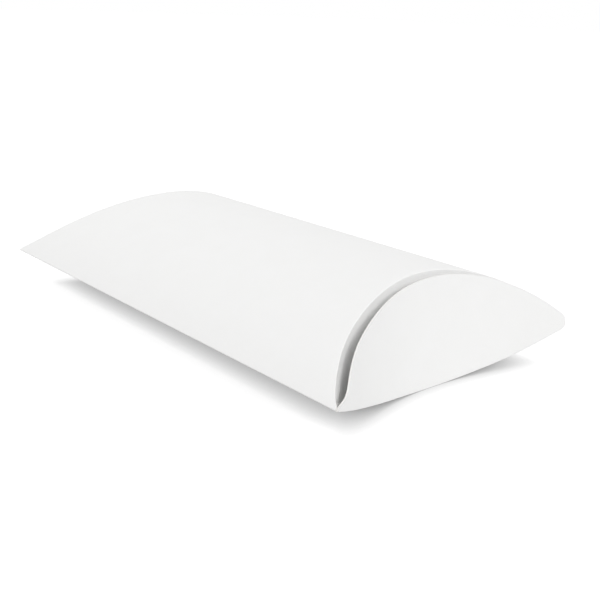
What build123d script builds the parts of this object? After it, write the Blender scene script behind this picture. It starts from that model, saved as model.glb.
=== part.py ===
from build123d import *
import os
from math import cos, radians, sqrt, tan

os.makedirs("parts", exist_ok=True)

# A pillow box folded from one sheet of thin board. X runs from end to end, Y from side fold to
# side fold and Z up, and the origin is on the floor under the middle of the box. All sizes are in mm.
box_length = 160.0
box_width = 98.0
top_rise = 19.1
bottom_drop = 11.7
board = 0.45
side_blunt = 0.2

# Curved creases across the ends: how far the middle of each is set in from the tips
top_inset = 19.1
bottom_inset = 11.7
near_tip_radius = 0.4
far_tip_radius = 3.0
fold_gap = 0.1
bead = 0.5
bead_setback = 4.5

# Outer flaps, hinged on the bottom panel and folded up over the open end
outer_lean = 6.0
outer_edge_drop = 0.6
shoulder_setback = 17.5
shoulder_radius = 18.0
waist_setback = 3.5
waist_radius = 3.0
foot_height = 1.0
foot_setback = 1.0
far_end_setback = 2.4
far_end_radius = 2.0

# Inner flaps, hinged on the top panel and folded down behind the outer ones
inner_edge_level = 8.3
inner_near_setback = 4.2
inner_far_setback = 6.6
inner_clearance = 0.5
inner_end_radius = 0.8

# Glued seam along the far side
tab_width = 12.0
tab_end_setback = 7.0
tab_taper = 8.0
glue = 0.15
glue_margin = 2.5

# Length by which cutting shapes run past what they cut
overrun = 5.0

# Places worked out from the sizes above
half_length = box_length / 2
half_width = box_width / 2
half_chord = half_width + side_blunt
seam_z = bottom_drop
box_height = top_rise + bottom_drop


def arc_radius(rise):
    """Radius of the arc that rises by this much between the two side folds."""
    return (half_chord**2 + rise**2) / (2 * rise)


top_radius = arc_radius(top_rise)
bottom_radius = arc_radius(bottom_drop)
top_centre_z = box_height - top_radius
bottom_centre_z = bottom_radius

inner_radius = arc_radius(top_inset)
inner_centre_x = half_length - top_inset + inner_radius
inner_near = -half_width + inner_near_setback
inner_far = half_width - inner_far_setback

# The leaning outer flaps are drawn level with the floor, where their arc is shifted outwards
lean_shift = tan(radians(outer_lean))
outer_board = board / cos(radians(outer_lean))
seam_inset = bottom_inset + bottom_drop * lean_shift
outer_radius = arc_radius(seam_inset)
outer_centre_x = half_length - seam_inset + outer_radius + (seam_z + overrun) * lean_shift

bottom_crease_radius = arc_radius(bottom_inset)
bottom_crease_x = half_length - bottom_inset + bottom_crease_radius


def save(piece, name):
    """Label a finished piece and write it as a STEP file."""
    piece.part.label = name
    export_step(piece.part, f"parts/{name}.step")


def wall(outer, inner, centre_z):
    """A bent wall between two radii, drawn across the box and run from end to end."""
    with BuildSketch(Plane.YZ.offset(-half_length)) as section:
        with Locations((0, centre_z)):
            Circle(outer)
            Circle(inner, mode=Mode.SUBTRACT)
    extrude(section.sketch, amount=box_length)


def keep_above_seam():
    """Cut away what lies below the level of the side folds."""
    with Locations((0, 0, seam_z)):
        Box(
            box_length + overrun, box_width + overrun, top_rise + overrun,
            align=(Align.CENTER, Align.CENTER, Align.MIN), mode=Mode.INTERSECT,
        )


def keep_below_seam():
    """Cut away what lies above the level of the side folds."""
    with Locations((0, 0, seam_z)):
        Box(
            box_length + overrun, box_width + overrun, bottom_drop + overrun,
            align=(Align.CENTER, Align.CENTER, Align.MAX), mode=Mode.INTERSECT,
        )


def panel_outline(end_radius, centre_x):
    """Trim a panel to its plan: straight side folds and hollow ends that meet in blunt tips."""
    with BuildSketch(Plane.XY.offset(-overrun)) as outline:
        Rectangle(box_length, box_width)
        with Locations((centre_x, 0), (-centre_x, 0)):
            Circle(end_radius, mode=Mode.SUBTRACT)
        fillet(outline.vertices().group_by(Axis.Y)[-1], far_tip_radius)
        fillet(outline.vertices().group_by(Axis.Y)[0], near_tip_radius)
    extrude(outline.sketch, amount=box_height + 2 * overrun, mode=Mode.INTERSECT)


def flap_room(end_radius, centre_x, near, far):
    """Cut a panel's ends back where the flaps fold over them."""
    with BuildSketch(Plane.XY.offset(-overrun)) as room:
        with Locations((centre_x, 0), (-centre_x, 0)):
            Circle(end_radius)
        with Locations((0, (near + far) / 2)):
            Rectangle(2 * box_length, far - near, mode=Mode.INTERSECT)
    extrude(room.sketch, amount=box_height + 2 * overrun, mode=Mode.SUBTRACT)


def end_ring(outer, inner, centre_x, half_span):
    """Keep only the strip between two upright arcs at the right end, as wide as the span."""
    with BuildSketch(Plane.XY.offset(-overrun)) as ring:
        with Locations((centre_x, 0)):
            Circle(outer)
            Circle(inner, mode=Mode.SUBTRACT)
        Rectangle(box_length + 2 * overrun, 2 * half_span, mode=Mode.INTERSECT)
    extrude(ring.sketch, amount=box_height + 2 * overrun, mode=Mode.INTERSECT)


# Top panel: the crowned upper sheet
with BuildPart() as top_panel:
    wall(top_radius, top_radius - board, top_centre_z)
    keep_above_seam()
    panel_outline(inner_radius, inner_centre_x)
    flap_room(
        inner_radius + board + fold_gap, inner_centre_x, inner_near - fold_gap, inner_far + fold_gap
    )
save(top_panel, "top_panel")

# Bottom panel: the flatter lower sheet that the box lies on
with BuildPart() as bottom_panel:
    wall(bottom_radius, bottom_radius - board, bottom_centre_z)
    keep_below_seam()
    panel_outline(bottom_crease_radius + outer_board + fold_gap, bottom_crease_x)
save(bottom_panel, "bottom_panel")

# Glue tab: carried by the bottom panel, folded up inside the far side of the top panel
with BuildPart() as glue_tab:
    wall(top_radius - board - glue, top_radius - 2 * board - glue, top_centre_z)
    keep_above_seam()
    with BuildSketch():
        tab_half = half_length - tab_end_setback
        Polygon(
            (-tab_half, half_width), (tab_half, half_width),
            (tab_half - tab_taper, half_width - tab_width),
            (-tab_half + tab_taper, half_width - tab_width),
            align=None,
        )
    extrude(amount=box_height + overrun, mode=Mode.INTERSECT)
save(glue_tab, "glue_tab")

# Glue line: the film that holds the tab to the top panel
with BuildPart() as glue_line:
    wall(top_radius - board, top_radius - board - glue, top_centre_z)
    with BuildSketch():
        with Locations((0, half_width - tab_width / 2)):
            Rectangle(2 * (tab_half - tab_taper), tab_width - 2 * glue_margin)
    extrude(amount=box_height + overrun, mode=Mode.INTERSECT)
save(glue_line, "glue_line")


def fold_bead(side, top_inner_radius):
    """The ridge that a pressed crease leaves in the corner between two sheets."""
    corner_y = sqrt(top_inner_radius**2 - (seam_z - top_centre_z) ** 2)
    with BuildSketch(Plane.YZ.offset(-half_length + tab_end_setback)) as corner:
        with Locations((side * (corner_y - bead), seam_z)):
            Circle(2 * bead)
        with Locations((0, top_centre_z)):
            Circle(top_inner_radius, mode=Mode.INTERSECT)
        with Locations((0, bottom_centre_z)):
            Circle(bottom_radius - board, mode=Mode.INTERSECT)
    extrude(corner.sketch, amount=box_length - 2 * tab_end_setback)


with BuildPart() as side_crease:
    fold_bead(-1, top_radius - board)
save(side_crease, "side_crease")

with BuildPart() as tab_crease:
    fold_bead(1, top_radius - 2 * board - glue)
save(tab_crease, "tab_crease")

# Beads of the curved creases: in the corner between a panel and the flap folded from it
with BuildPart() as right_inner_crease:
    wall(top_radius - board, top_radius - board - bead, top_centre_z)
    keep_above_seam()
    bead_start = inner_radius + board + 2 * fold_gap
    end_ring(bead_start + bead, bead_start, inner_centre_x, half_width - bead_setback)
save(right_inner_crease, "right_inner_crease")

with BuildPart() as right_outer_crease:
    wall(bottom_radius - board, bottom_radius - board - bead, bottom_centre_z)
    keep_below_seam()
    bead_start = bottom_crease_radius + outer_board + 2 * fold_gap
    end_ring(bead_start + bead, bead_start, bottom_crease_x, half_width - bead_setback)
save(right_outer_crease, "right_outer_crease")

# Outer flap: a lens of board, bent to the bottom crease and leaning in over the opening
with BuildPart() as right_outer_flap:
    with BuildSketch(Plane.XY.offset(-overrun)):
        with Locations((outer_centre_x, 0)):
            Circle(outer_radius + outer_board)
            Circle(outer_radius, mode=Mode.SUBTRACT)
        Rectangle(box_length + 2 * overrun, box_width, mode=Mode.INTERSECT)
    extrude(amount=box_height + 2 * overrun, dir=(-lean_shift, 0, 1))
    with BuildSketch(Plane.YZ) as outer_outline:
        far_end = half_width - far_end_setback
        with Locations((0, top_centre_z - outer_edge_drop)):
            Circle(top_radius)
        Polygon(
            (-half_width + waist_setback, 0), (far_end, 0),
            (far_end, box_height), (-half_width + shoulder_setback, box_height),
            align=None, mode=Mode.INTERSECT,
        )
        fillet(outer_outline.vertices().sort_by(Axis.Y)[-2], far_end_radius)
        fillet(outer_outline.vertices().sort_by(Axis.Y)[-1], shoulder_radius)
        with BuildSketch():
            foot_end = -half_width + foot_setback
            with Locations((0, bottom_centre_z)):
                Circle(bottom_radius)
                Circle(bottom_radius - foot_height, mode=Mode.SUBTRACT)
            Polygon(
                (foot_end, 0), (0, 0), (0, seam_z), (foot_end, seam_z),
                align=None, mode=Mode.INTERSECT,
            )
        with Locations((0, bottom_centre_z)):
            Circle(bottom_radius, mode=Mode.INTERSECT)
        waist = outer_outline.vertices().sort_by(Axis.X)[3]
        fillet(waist, waist_radius)
    extrude(amount=box_length, mode=Mode.INTERSECT)
save(right_outer_flap, "right_outer_flap")

# Inner flap: a shallower lens, upright behind the outer flap
with BuildPart() as right_inner_flap:
    with BuildSketch(Plane.XY.offset(-overrun)):
        with Locations((inner_centre_x, 0)):
            Circle(inner_radius + board)
            Circle(inner_radius, mode=Mode.SUBTRACT)
        Rectangle(box_length + 2 * overrun, box_width, mode=Mode.INTERSECT)
    extrude(amount=box_height + 2 * overrun)
    with BuildSketch(Plane.YZ) as inner_outline:
        with Locations((0, top_centre_z)):
            Circle(top_radius)
        with Locations((0, bottom_centre_z)):
            Circle(bottom_radius - board - inner_clearance, mode=Mode.INTERSECT)
        Polygon(
            (inner_near, inner_edge_level), (inner_far, inner_edge_level),
            (inner_far, box_height), (inner_near, box_height),
            align=None, mode=Mode.INTERSECT,
        )
        side_ends = inner_outline.vertices().filter_by_position(Axis.Y, inner_edge_level, seam_z)
        fillet(side_ends.sort_by(Axis.X)[0], inner_end_radius)
        side_ends = inner_outline.vertices().filter_by_position(Axis.Y, inner_edge_level, seam_z)
        fillet(side_ends.sort_by(Axis.X)[-1], inner_end_radius)
    extrude(amount=box_length, mode=Mode.INTERSECT)
save(right_inner_flap, "right_inner_flap")

# The left end is the mirror image of the right one
right_end = {
    "outer_crease": right_outer_crease, "inner_crease": right_inner_crease,
    "outer_flap": right_outer_flap, "inner_flap": right_inner_flap,
}
for kind, right_piece in right_end.items():
    with BuildPart() as left_piece:
        mirror(right_piece.part, about=Plane.YZ)
    save(left_piece, f"left_{kind}")
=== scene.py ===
from math import asin, atan2, cos, hypot, pi, radians, sin, sqrt, tan

import bpy
from mathutils import Matrix, Vector


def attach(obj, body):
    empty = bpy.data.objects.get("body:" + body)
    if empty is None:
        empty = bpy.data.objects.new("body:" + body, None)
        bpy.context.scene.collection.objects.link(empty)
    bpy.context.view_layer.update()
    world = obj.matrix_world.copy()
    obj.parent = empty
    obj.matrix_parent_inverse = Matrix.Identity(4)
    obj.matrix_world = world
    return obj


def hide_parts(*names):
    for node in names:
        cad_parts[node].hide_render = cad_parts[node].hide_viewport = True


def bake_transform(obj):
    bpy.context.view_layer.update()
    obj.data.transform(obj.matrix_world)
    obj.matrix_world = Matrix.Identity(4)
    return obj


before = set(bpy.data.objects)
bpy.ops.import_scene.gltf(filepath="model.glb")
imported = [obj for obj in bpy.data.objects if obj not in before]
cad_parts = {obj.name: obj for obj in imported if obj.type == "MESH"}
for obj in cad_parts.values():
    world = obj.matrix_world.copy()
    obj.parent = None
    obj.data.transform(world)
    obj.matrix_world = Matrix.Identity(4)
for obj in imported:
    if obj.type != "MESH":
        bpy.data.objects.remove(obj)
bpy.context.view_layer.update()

# A pillow box of white folded board. Sizes are in millimetres until a mesh is made, and the frame
# is the model's own: X from end to end, Y from the near side fold to the far one, Z up from the
# floor. A side of 1 is the right end (+X) or the far fold, and -1 is the left end or the near fold.
MM = 0.001

# Driving sizes, as in the solids but for the slant of the inner flap
BOARD = 0.45
GLUE = 0.15
HALF_LENGTH = 80.0
HALF_WIDTH = 49.0
SIDE_BLUNT = 0.2
TOP_RISE = 19.1
BOTTOM_DROP = 11.7
OUTER_LEAN = radians(6.0)
INNER_LEAN = radians(-7.0)
OUTER_TURN = radians(96.0)
INNER_TURN = radians(90.0)

# How the board looks where it is folded, rounded or cut
FOLD_RADIUS = 0.2
CREASE_RADIUS = 0.25
NEAR_TIP_RADIUS = 0.4
FAR_TIP_RADIUS = 3.0
EDGE_ROUND = 0.07
EDGE_SEGMENTS = 2
EDGE_ANGLE = radians(60.0)
CUT_EDGE_LIFT = 0.25
CREASE_FADE = 1.0

# How far each crease runs outside its arc, as (y, offset), set where the photo shows it
TOP_RUN = {
    1: (
        (-49, 2.0), (-47, 0.8), (-43, 0), (-38, -0.4), (-33, -0.35), (-27, 0),
        (-20, 0.25), (-12, 0.4), (0, 0.4), (20, 0.3), (40, 0.1), (49, 0),
    ),
    -1: ((-49, 1.5), (-45, 0.5), (-41, 0.1), (-38, 0), (49, 0)),
}
BOTTOM_RUN = {
    1: (
        (-49, 2.0), (-40, 1.5), (-31, 0.95), (-23, 0.6), (-13, 0.25), (-3, 0.3), (7, 0.6),
        (16, 0.9), (25, 1.15), (32, 1.05), (39, 0.65), (44, 0.2), (49, 0),
    ),
    -1: ((-49, 1.5), (-38, 0.6), (-28, 0), (49, 0)),
}

# Outline of the outer flap: its free edge, the near shoulder, waist and foot, and the blunt far end
RIGHT_EDGE_DROP = 0.3
LEFT_EDGE_DROP = 1.4
NEAR_END = -48.4
FAR_END = 46.6
WAIST_START = -48.0
SHOULDER_START = -32.6
SHOULDER_RADIUS = 15.0
WAIST_RADIUS = 3.5
FOOT_LEVEL = 12.0
FAR_END_RADIUS = 2.0

# Outline of the inner flap
INNER_NEAR = -46.8
INNER_FAR = 42.4
INNER_EDGE_LEVEL = 8.3
INNER_CLEARANCE = 0.2
INNER_END_RADIUS = 0.8

# How finely the sheets are divided
FOLD_STEPS = 10
PANEL_STEPS = 110
LENGTH_STEPS = 40
BEND_STEPS = 6
LEAF_STEPS = 24
EDGE_STEPS = 80
SHORT_STEPS = 8
SHOULDER_STEPS = 16
END_STEPS = 6

# Places worked out from the sizes
HALF_CHORD = HALF_WIDTH + SIDE_BLUNT
BOX_HEIGHT = TOP_RISE + BOTTOM_DROP


def arc_radius(rise):
    """Radius of the arc that rises by this much from one side fold to the middle."""
    return (HALF_CHORD**2 + rise**2) / (2 * rise)


TOP_RADIUS = arc_radius(TOP_RISE)
BOTTOM_RADIUS = arc_radius(BOTTOM_DROP)
TOP_CENTRE = BOX_HEIGHT - TOP_RADIUS
BOTTOM_CENTRE = BOTTOM_RADIUS
INNER_PIVOT = HALF_LENGTH - TOP_RISE
OUTER_PIVOT = HALF_LENGTH - BOTTOM_DROP
TOP_CREASE = {side: (INNER_PIVOT, TOP_RADIUS, run) for side, run in TOP_RUN.items()}
BOTTOM_CREASE = {side: (OUTER_PIVOT, BOTTOM_RADIUS, run) for side, run in BOTTOM_RUN.items()}


def top_level(y):
    """Height of the top panel's outer face."""
    return TOP_CENTRE + sqrt(TOP_RADIUS**2 - y**2)


def bottom_level(y):
    """Height of the bottom panel's outer face."""
    return BOTTOM_CENTRE - sqrt(BOTTOM_RADIUS**2 - y**2)


def along_table(table, at):
    """Smooth curve through the points of a table, level beyond its ends."""
    if at <= table[0][0]:
        return table[0][1]
    if at >= table[-1][0]:
        return table[-1][1]
    i = max(k for k, (place, _) in enumerate(table[:-1]) if place <= at)

    def slope(k):
        (x0, y0), (x1, y1) = table[max(k - 1, 0)], table[min(k + 1, len(table) - 1)]
        return (y1 - y0) / (x1 - x0)

    (x0, y0), (x1, y1) = table[i], table[i + 1]
    width = x1 - x0
    t = (at - x0) / width
    return (
        y0 * (1 + 2 * t) * (1 - t) ** 2 + slope(i) * width * t * (1 - t) ** 2
        + y1 * t**2 * (3 - 2 * t) + slope(i + 1) * width * t**2 * (t - 1)
    )


def end_line(y, crease, edge):
    """How far out a panel reaches: along its curved crease, and round the tip next to the side."""
    pivot, radius, run = crease
    side = abs(y)
    tip = FAR_TIP_RADIUS if y > 0 else NEAR_TIP_RADIUS
    centre_y = edge - tip
    if side <= centre_y * radius / (radius + tip):
        reach = pivot + radius - sqrt(radius**2 - side**2)
    else:
        centre_x = pivot + radius - sqrt((radius + tip) ** 2 - centre_y**2)
        reach = centre_x + sqrt(max(0.0, tip**2 - (side - centre_y) ** 2))
    return reach + along_table(run, y)


def ease(t):
    """Smooth step from 0 to 1."""
    t = min(1.0, max(0.0, t))
    return t * t * (3 - 2 * t)


def steps(low, high, count):
    """Evenly spaced numbers, both ends included."""
    return [low + (high - low) * i / count for i in range(count + 1)]


# Materials

def new_material(name):
    """An empty node material with its shader and output."""
    material = bpy.data.materials.new(name)
    material.use_nodes = True
    nodes = material.node_tree.nodes
    nodes.clear()
    output = nodes.new("ShaderNodeOutputMaterial")
    shader = nodes.new("ShaderNodeBsdfPrincipled")
    material.node_tree.links.new(shader.outputs["BSDF"], output.inputs["Surface"])
    return material, shader


def noise(tree, place, scale, detail, roughness=0.5):
    """Noise over a place, as a factor around a half."""
    node = tree.nodes.new("ShaderNodeTexNoise")
    node.inputs["Scale"].default_value = scale
    node.inputs["Detail"].default_value = detail
    node.inputs["Roughness"].default_value = roughness
    tree.links.new(place, node.inputs["Vector"])
    return node.outputs["Fac"]


def colour_between(tree, factor, low, high, span=(0.0, 1.0)):
    """Colour that runs from low to high while the factor crosses the span."""
    node = tree.nodes.new("ShaderNodeValToRGB")
    first, last = node.color_ramp.elements
    first.position, last.position = span
    first.color, last.color = (*low, 1), (*high, 1)
    tree.links.new(factor, node.inputs["Fac"])
    return node.outputs["Color"]


def value_between(tree, factor, low, high, start=0.0):
    """Value that runs from low to high while the factor goes from the start to 1."""
    node = tree.nodes.new("ShaderNodeMapRange")
    node.inputs["From Min"].default_value = start
    node.inputs["To Min"].default_value = low
    node.inputs["To Max"].default_value = high
    tree.links.new(factor, node.inputs["Value"])
    return node.outputs["Result"]


def relief(tree, height, strength, depth):
    """Bump from a height, with its depth in millimetres."""
    node = tree.nodes.new("ShaderNodeBump")
    node.inputs["Strength"].default_value = strength
    node.inputs["Distance"].default_value = depth * MM
    tree.links.new(height, node.inputs["Height"])
    return node.outputs["Normal"]


def board_material(name, tone, warm, rough, grain):
    """Bleached board: cloudy formation, fine fibre grain, and a faint calendered sheen."""
    cloud_share, fibre_share = 0.55, 0.45
    fibre_scale = (500.0, 1900.0, 1900.0)
    material, shader = new_material(name)
    tree = material.node_tree
    place = tree.nodes.new("ShaderNodeTexCoord").outputs["Object"]
    clouds = noise(tree, place, scale=140.0, detail=6.0, roughness=0.62)
    stretch = tree.nodes.new("ShaderNodeMapping")
    stretch.inputs["Scale"].default_value = fibre_scale
    tree.links.new(place, stretch.inputs["Vector"])
    fibre = noise(tree, stretch.outputs["Vector"], scale=1.0, detail=5.0, roughness=0.7)

    part = tree.nodes.new("ShaderNodeMath")
    part.operation = "MULTIPLY"
    part.inputs[1].default_value = cloud_share
    tree.links.new(clouds, part.inputs[0])
    both = tree.nodes.new("ShaderNodeMath")
    both.operation = "MULTIPLY_ADD"
    both.inputs[1].default_value = fibre_share
    tree.links.new(fibre, both.inputs[0])
    tree.links.new(part.outputs["Value"], both.inputs[2])
    texture = both.outputs["Value"]

    dull = (tone * (1 - 1.6 * grain), tone * (1 - 1.7 * grain), tone * (1 - warm - 2.1 * grain))
    bright = (tone, tone, tone * (1 - warm))
    colour = colour_between(tree, texture, dull, bright, span=(0.3, 0.7))
    gloss = value_between(tree, texture, low=rough - 0.06, high=rough + 0.08)
    bump = relief(tree, texture, strength=6 * grain, depth=0.05)
    tree.links.new(colour, shader.inputs["Base Color"])
    tree.links.new(gloss, shader.inputs["Roughness"])
    tree.links.new(bump, shader.inputs["Normal"])
    shader.inputs["Specular IOR Level"].default_value = 0.35
    shader.inputs["Sheen Weight"].default_value = 0.04
    shader.inputs["Sheen Roughness"].default_value = 0.6
    return material


def edge_material():
    """Cut edge of the board: pressed layers of fibre, a little duller than the faces."""
    material, shader = new_material("board_edge")
    tree = material.node_tree
    place = tree.nodes.new("ShaderNodeTexCoord").outputs["Object"]
    fibre = noise(tree, place, scale=4200.0, detail=4.0)
    colour = colour_between(tree, fibre, low=(0.80, 0.79, 0.765), high=(0.92, 0.915, 0.90))
    rough = value_between(tree, fibre, low=0.8, high=0.95)
    bump = relief(tree, fibre, strength=0.5, depth=0.03)
    tree.links.new(colour, shader.inputs["Base Color"])
    tree.links.new(rough, shader.inputs["Roughness"])
    tree.links.new(bump, shader.inputs["Normal"])
    shader.inputs["Specular IOR Level"].default_value = 0.2
    return material


def glue_material():
    """Dried white glue: slightly yellow and glossy, with an uneven film."""
    material, shader = new_material("dried_glue")
    tree = material.node_tree
    place = tree.nodes.new("ShaderNodeTexCoord").outputs["Object"]
    film = noise(tree, place, scale=700.0, detail=3.0)
    colour = colour_between(tree, film, low=(0.70, 0.67, 0.58), high=(0.84, 0.82, 0.75))
    rough = value_between(tree, film, low=0.22, high=0.42)
    tree.links.new(colour, shader.inputs["Base Color"])
    tree.links.new(rough, shader.inputs["Roughness"])
    return material


board_outside = board_material("board_outside", tone=0.89, warm=0.004, rough=0.5, grain=0.012)
board_inside = board_material("board_inside", tone=0.89, warm=0.008, rough=0.72, grain=0.02)
board_edge = edge_material()
dried_glue = glue_material()


def dress(node, material):
    """Give a carried-over solid its finish."""
    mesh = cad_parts[node].data
    mesh.materials.clear()
    mesh.materials.append(material)


# Sheets of board

def sheet(name, rows, flipped, nodes):
    """A sheet from rows of points on its outer face. Thickness and rounded edges are modifiers."""
    width = len(rows[0])
    points = [tuple(c * MM for c in point) for row in rows for point in row]
    faces = []
    for i in range(len(rows) - 1):
        for j in range(width - 1):
            first = i * width + j
            face = (first, first + 1, first + width + 1, first + width)
            faces.append(face[::-1] if flipped else face)
    mesh = bpy.data.meshes.new(name)
    mesh.from_pydata(points, [], faces)
    mesh.shade_smooth()
    for material in (board_outside, board_inside, board_edge):
        mesh.materials.append(material)
    piece = bpy.data.objects.new(name, mesh)
    bpy.context.scene.collection.objects.link(piece)

    thickness = piece.modifiers.new("board", "SOLIDIFY")
    thickness.thickness = BOARD * MM
    thickness.offset = -1
    thickness.use_even_offset = True
    thickness.use_quality_normals = True
    thickness.material_offset = 1
    thickness.material_offset_rim = 2
    edges = piece.modifiers.new("edges", "BEVEL")
    edges.width = EDGE_ROUND * MM
    edges.segments = EDGE_SEGMENTS
    edges.limit_method = "ANGLE"
    edges.angle_limit = EDGE_ANGLE
    edges.harden_normals = True
    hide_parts(*nodes)
    return piece


def fold_centre(upper_radius):
    """Middle of the fold between the bottom panel and an upper sheet, as (y, z)."""
    low, high = BOTTOM_RADIUS - FOLD_RADIUS, upper_radius - FOLD_RADIUS
    z = (low**2 - high**2 - BOTTOM_CENTRE**2 + TOP_CENTRE**2) / (2 * (TOP_CENTRE - BOTTOM_CENTRE))
    return sqrt(high**2 - (z - TOP_CENTRE) ** 2), z


def fold_angles(upper_radius):
    """Where the fold leaves the bottom panel, its middle, and where it meets the upper sheet."""
    y, z = fold_centre(upper_radius)
    low, high = atan2(z - BOTTOM_CENTRE, y), atan2(z - TOP_CENTRE, y)
    return low, (low + high) / 2, high


def fold_points(upper_radius, start, end, side, count):
    """Points round the fold on the near (-1) or far (1) side."""
    y, z = fold_centre(upper_radius)
    return [
        (side * (y + FOLD_RADIUS * cos(t)), z + FOLD_RADIUS * sin(t))
        for t in steps(start, end, count)
    ]


def arc_points(radius, centre, low, high, count):
    """Points on a panel's arc between two angles."""
    return [(radius * cos(t), centre + radius * sin(t)) for t in steps(low, high, count)]


near_low, near_middle, near_high = fold_angles(TOP_RADIUS)
tab_radius = TOP_RADIUS - BOARD - GLUE
far_low, _, far_high = fold_angles(tab_radius)

# Top panel: from the middle of the near fold over the crown to its cut edge on the far side
far_edge = asin((BOTTOM_DROP + CUT_EDGE_LIFT - TOP_CENTRE) / TOP_RADIUS)
top_profile = (
    fold_points(TOP_RADIUS, near_middle, near_high, -1, FOLD_STEPS)[:-1]
    + arc_points(TOP_RADIUS, TOP_CENTRE, pi - near_high, far_edge, PANEL_STEPS)
)

# Bottom panel: from the same place under the box and round the far fold to the tab
bottom_profile = (
    fold_points(TOP_RADIUS, near_middle, near_low, -1, FOLD_STEPS)[:-1]
    + arc_points(BOTTOM_RADIUS, BOTTOM_CENTRE, -pi - near_low, far_low, PANEL_STEPS)
    + fold_points(tab_radius, far_low, far_high, 1, 2 * FOLD_STEPS)[1:]
)
side_edge = max(abs(y) for y, _ in top_profile)


def panel_rows(profile, crease, up, bend, near, far):
    """Rows of a panel from end to end, rolled over by half the bend where a flap hangs on it."""
    rows = []
    setback = CREASE_RADIUS * tan(bend)
    for y, z in profile:
        flat = ease(max(near - y, y - far) / CREASE_FADE)
        ends = {}
        for side in (-1, 1):
            start = end_line(y, crease[side], side_edge) - setback
            ends[side] = []
            for t in steps(0, bend, BEND_STEPS):
                x = start + CREASE_RADIUS * sin(t)
                drop = CREASE_RADIUS * (1 - cos(t))
                plain = start + setback * t / bend
                ends[side].append(
                    (side * (x + (plain - x) * flat), y, z - up * drop * (1 - flat))
                )
        level = [(x, y, z) for x in steps(ends[-1][0][0], ends[1][0][0], LENGTH_STEPS)]
        rows.append(ends[-1][::-1] + level[1:-1] + ends[1])
    return rows


top_sheet = sheet(
    "top_sheet",
    panel_rows(top_profile, TOP_CREASE, 1, (INNER_TURN + INNER_LEAN) / 2, INNER_NEAR, INNER_FAR),
    False, ["top_panel"],
)
bottom_sheet = sheet(
    "bottom_sheet",
    panel_rows(bottom_profile, BOTTOM_CREASE, -1, OUTER_TURN / 2, NEAR_END, FAR_END),
    True, ["bottom_panel"],
)
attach(top_sheet, "sleeve")
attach(bottom_sheet, "sleeve")


# Flaps

def corner(centre_z, radius, start, end, inwards, fillet, count):
    """Points round the corner where a line from start to end meets a circle, line first."""
    run = Vector(end) - Vector(start)
    run.normalize()
    normal = Vector((-run.y, run.x)) * inwards
    place = Vector(start) + normal * fillet - Vector((0, centre_z))
    along = place.dot(run)
    centre = place + run * (sqrt(along**2 - place.length_squared + (radius - fillet) ** 2) - along)
    first, last = atan2(-normal.y, -normal.x), atan2(centre.y, centre.x)
    turn = (last - first + pi) % (2 * pi) - pi
    return [
        (
            centre.x + fillet * cos(first + turn * t),
            centre_z + centre.y + fillet * sin(first + turn * t),
        )
        for t in steps(0, 1, count)
    ]


def arc_between(centre_z, radius, start, end, count):
    """Points between two points of a circle, both left out."""
    first, last = atan2(start[1] - centre_z, start[0]), atan2(end[1] - centre_z, end[0])
    return [(radius * cos(t), centre_z + radius * sin(t)) for t in steps(first, last, count)[1:-1]]


def outer_outline(edge_drop):
    """Free outline of the outer flap in (y, z), from its near end to its far one."""
    low, high = (WAIST_START, 0.0), (SHOULDER_START, BOX_HEIGHT)
    crown = TOP_CENTRE - edge_drop
    run = Vector((SHOULDER_START - WAIST_START, BOX_HEIGHT)).normalized()
    centre_z = FOOT_LEVEL + WAIST_RADIUS
    centre_y = WAIST_START + (centre_z * run.x - WAIST_RADIUS) / run.y
    waist = [
        (centre_y + WAIST_RADIUS * cos(t), centre_z + WAIST_RADIUS * sin(t))
        for t in steps(-pi / 2, -atan2(run.x, run.y), SHORT_STEPS)
    ]
    shoulder = corner(crown, TOP_RADIUS, low, high, -1, SHOULDER_RADIUS, SHOULDER_STEPS)
    far_line = (FAR_END, 0), (FAR_END, BOX_HEIGHT)
    far = corner(crown, TOP_RADIUS, *far_line, 1, FAR_END_RADIUS, END_STEPS)[::-1]
    foot = [(y, FOOT_LEVEL) for y in steps(NEAR_END, waist[0][0], SHORT_STEPS)]
    side = [
        tuple(Vector(waist[-1]).lerp(Vector(shoulder[0]), t))
        for t in steps(0, 1, SHORT_STEPS)[1:-1]
    ]
    return (
        foot + waist[1:] + side + shoulder
        + arc_between(crown, TOP_RADIUS, shoulder[-1], far[0], EDGE_STEPS) + far
    )


def inner_outline():
    """Free outline of the inner flap in (y, z), from its near end to its far one."""
    radius = BOTTOM_RADIUS - BOARD - INNER_CLEARANCE
    low = sqrt(radius**2 - (INNER_EDGE_LEVEL - BOTTOM_CENTRE) ** 2)
    near, far = (
        corner(
            BOTTOM_CENTRE, radius, (y, BOTTOM_DROP), (y, 0), inwards, INNER_END_RADIUS, END_STEPS,
        )
        for y, inwards in ((INNER_NEAR, 1), (INNER_FAR, -1))
    )
    far.reverse()
    level = [(y, INNER_EDGE_LEVEL) for y in steps(-low, low, EDGE_STEPS)]
    return (
        near + arc_between(BOTTOM_CENTRE, radius, near[-1], level[0], SHORT_STEPS) + level
        + arc_between(BOTTOM_CENTRE, radius, level[-1], far[0], SHORT_STEPS) + far
    )


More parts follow.
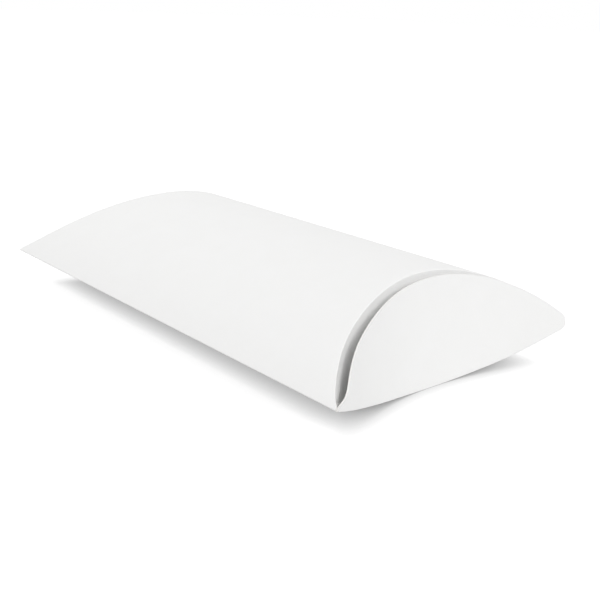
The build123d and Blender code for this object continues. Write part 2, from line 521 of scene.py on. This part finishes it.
def leaf_rows(outline, root, lean, bend, up, crease):
    """Rows of a flap from the middle of its bend to its free edge, and each row's share of it."""
    setback = CREASE_RADIUS * tan(bend)
    rows, ramps = [], []
    for t in steps(bend, 2 * bend, BEND_STEPS)[:-1]:
        rows.append([
            (
                end_line(y, crease, side_edge) - setback + CREASE_RADIUS * sin(t), y,
                root(y) + up * CREASE_RADIUS * (1 - cos(t)),
            )
            for y, _ in outline
        ])
        ramps.append(ease((t - bend) / bend))
    for v in steps(0, 1, LEAF_STEPS):
        row = []
        for y, free in outline:
            length = up * (free - root(y)) / cos(lean)
            along = setback + v * (length - setback)
            x = end_line(y, crease, side_edge) - along * sin(lean)
            row.append((x, y, root(y) + up * along * cos(lean)))
        rows.append(row)
        ramps.append(1.0)
    return rows, ramps


def flap(side, kind):
    """One flap, starting at its curved crease: it bends from the panel into its own plane."""
    if kind == "outer":
        outline = outer_outline(RIGHT_EDGE_DROP if side > 0 else LEFT_EDGE_DROP)
        pivot, up, turn = (OUTER_PIVOT, 0.0), 1, OUTER_TURN
        rows, ramps = leaf_rows(
            outline, bottom_level, OUTER_LEAN, OUTER_TURN / 2, up, BOTTOM_CREASE[side],
        )
    else:
        pivot, up, turn = (INNER_PIVOT, BOX_HEIGHT), -1, INNER_TURN
        rows, ramps = leaf_rows(
            inner_outline(), top_level, INNER_LEAN, (INNER_TURN + INNER_LEAN) / 2, up,
            TOP_CREASE[side],
        )
    name = "right" if side > 0 else "left"
    placed = [[(side * x, y, z) for x, y, z in row] for row in rows]
    piece = sheet(f"{name}_{kind}_leaf", placed, side * up < 0, [f"{name}_{kind}_flap"])
    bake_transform(piece)


for side in (1, -1):
    for kind in ("outer", "inner"):
        flap(side, kind)

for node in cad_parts:
    dress(node, dried_glue if node == "glue_line" else board_inside)


# Floor, light and camera

FLOOR_HALF = 6.0
CONTACT_SHADE_REACH = 7.5


def studio_floor():
    """A plain white floor. The camera sees a glow there, shaded where the box is close above."""
    material, shader = new_material("studio_floor")
    tree = material.node_tree
    shader.inputs["Roughness"].default_value = 0.9
    shader.inputs["Specular IOR Level"].default_value = 0.0
    seen = tree.nodes.new("ShaderNodeLightPath").outputs["Is Camera Ray"]
    tone = value_between(tree, seen, low=0.7, high=0.3)
    tree.links.new(tone, shader.inputs["Base Color"])
    near = tree.nodes.new("ShaderNodeAmbientOcclusion")
    near.inputs["Distance"].default_value = CONTACT_SHADE_REACH * MM
    glow = tree.nodes.new("ShaderNodeEmission")
    shade = value_between(tree, near.outputs["AO"], low=0.2, high=0.86, start=0.1)
    tree.links.new(shade, glow.inputs["Color"])
    tree.links.new(seen, glow.inputs["Strength"])
    both = tree.nodes.new("ShaderNodeAddShader")
    tree.links.new(shader.outputs["BSDF"], both.inputs[0])
    tree.links.new(glow.outputs["Emission"], both.inputs[1])
    output = next(n for n in tree.nodes if n.type == "OUTPUT_MATERIAL")
    tree.links.new(both.outputs["Shader"], output.inputs["Surface"])
    mesh = bpy.data.meshes.new("floor")
    corners = [
        (x * FLOOR_HALF, y * FLOOR_HALF, 0) for x, y in ((-1, -1), (1, -1), (1, 1), (-1, 1))
    ]
    mesh.from_pydata(corners, [], [(0, 1, 2, 3)])
    mesh.materials.append(material)
    floor = bpy.data.objects.new("floor", mesh)
    bpy.context.scene.collection.objects.link(floor)


def studio_world(strength):
    """An even white world of this strength, which the camera and reflections see as white."""
    world = bpy.data.worlds.new("studio")
    bpy.context.scene.world = world
    world.use_nodes = True
    tree = world.node_tree
    background = tree.nodes["Background"]
    background.inputs["Color"].default_value = (1, 1, 1, 1)
    light_path = tree.nodes.new("ShaderNodeLightPath")
    seen_or_mirrored = tree.nodes.new("ShaderNodeMath")
    seen_or_mirrored.operation = "MAXIMUM"
    tree.links.new(light_path.outputs["Is Camera Ray"], seen_or_mirrored.inputs[0])
    tree.links.new(light_path.outputs["Is Glossy Ray"], seen_or_mirrored.inputs[1])
    level = value_between(tree, seen_or_mirrored.outputs["Value"], low=strength, high=1.0)
    tree.links.new(level, background.inputs["Strength"])


def soft_light(name, azimuth, elevation, spread, strength):
    """A wide soft light from one side of the sky. Angles are in degrees, azimuth from +X to +Y."""
    lamp = bpy.data.lights.new(name, "SUN")
    lamp.angle = radians(spread)
    lamp.energy = strength
    light = bpy.data.objects.new(name, lamp)
    az, el = radians(azimuth), radians(elevation)
    towards = Vector((cos(az) * cos(el), sin(az) * cos(el), sin(el)))
    light.rotation_euler = towards.to_track_quat("Z", "Y").to_euler()
    bpy.context.scene.collection.objects.link(light)


studio_floor()
studio_world(strength=0.55)
soft_light("overhead", azimuth=-140, elevation=68, spread=40, strength=0.61)
soft_light("front", azimuth=-10, elevation=35, spread=30, strength=1.44)

# The camera, as fitted to the photo. Its azimuth is measured from -Y to +X.
AZIMUTH, ELEVATION, ROLL = radians(48.117), radians(18.384), radians(2.340)
TARGET = Vector((17.825, -4.095, BOTTOM_DROP)) * MM
DISTANCE = 269.161 * MM
SENSOR_WIDTH, FOCAL_LENGTH = 36.0, 52.860
CLIP_START = 10.0 * MM

back = Vector((sin(AZIMUTH) * cos(ELEVATION), -cos(AZIMUTH) * cos(ELEVATION), sin(ELEVATION)))
level_right = Vector((cos(AZIMUTH), sin(AZIMUTH), 0))
level_up = back.cross(level_right)
right = level_right * cos(ROLL) + level_up * sin(ROLL)
up = level_up * cos(ROLL) - level_right * sin(ROLL)
camera_data = bpy.data.cameras.new("camera")
camera_data.sensor_width = SENSOR_WIDTH
camera_data.lens = FOCAL_LENGTH
camera_data.clip_start = CLIP_START
camera = bpy.data.objects.new("camera", camera_data)
turn = Matrix((right, up, back)).transposed().to_4x4()
camera.matrix_world = Matrix.Translation(TARGET + back * DISTANCE) @ turn
bpy.context.scene.collection.objects.link(camera)
bpy.context.scene.camera = camera
bpy.context.scene.view_settings.view_transform = "Standard"
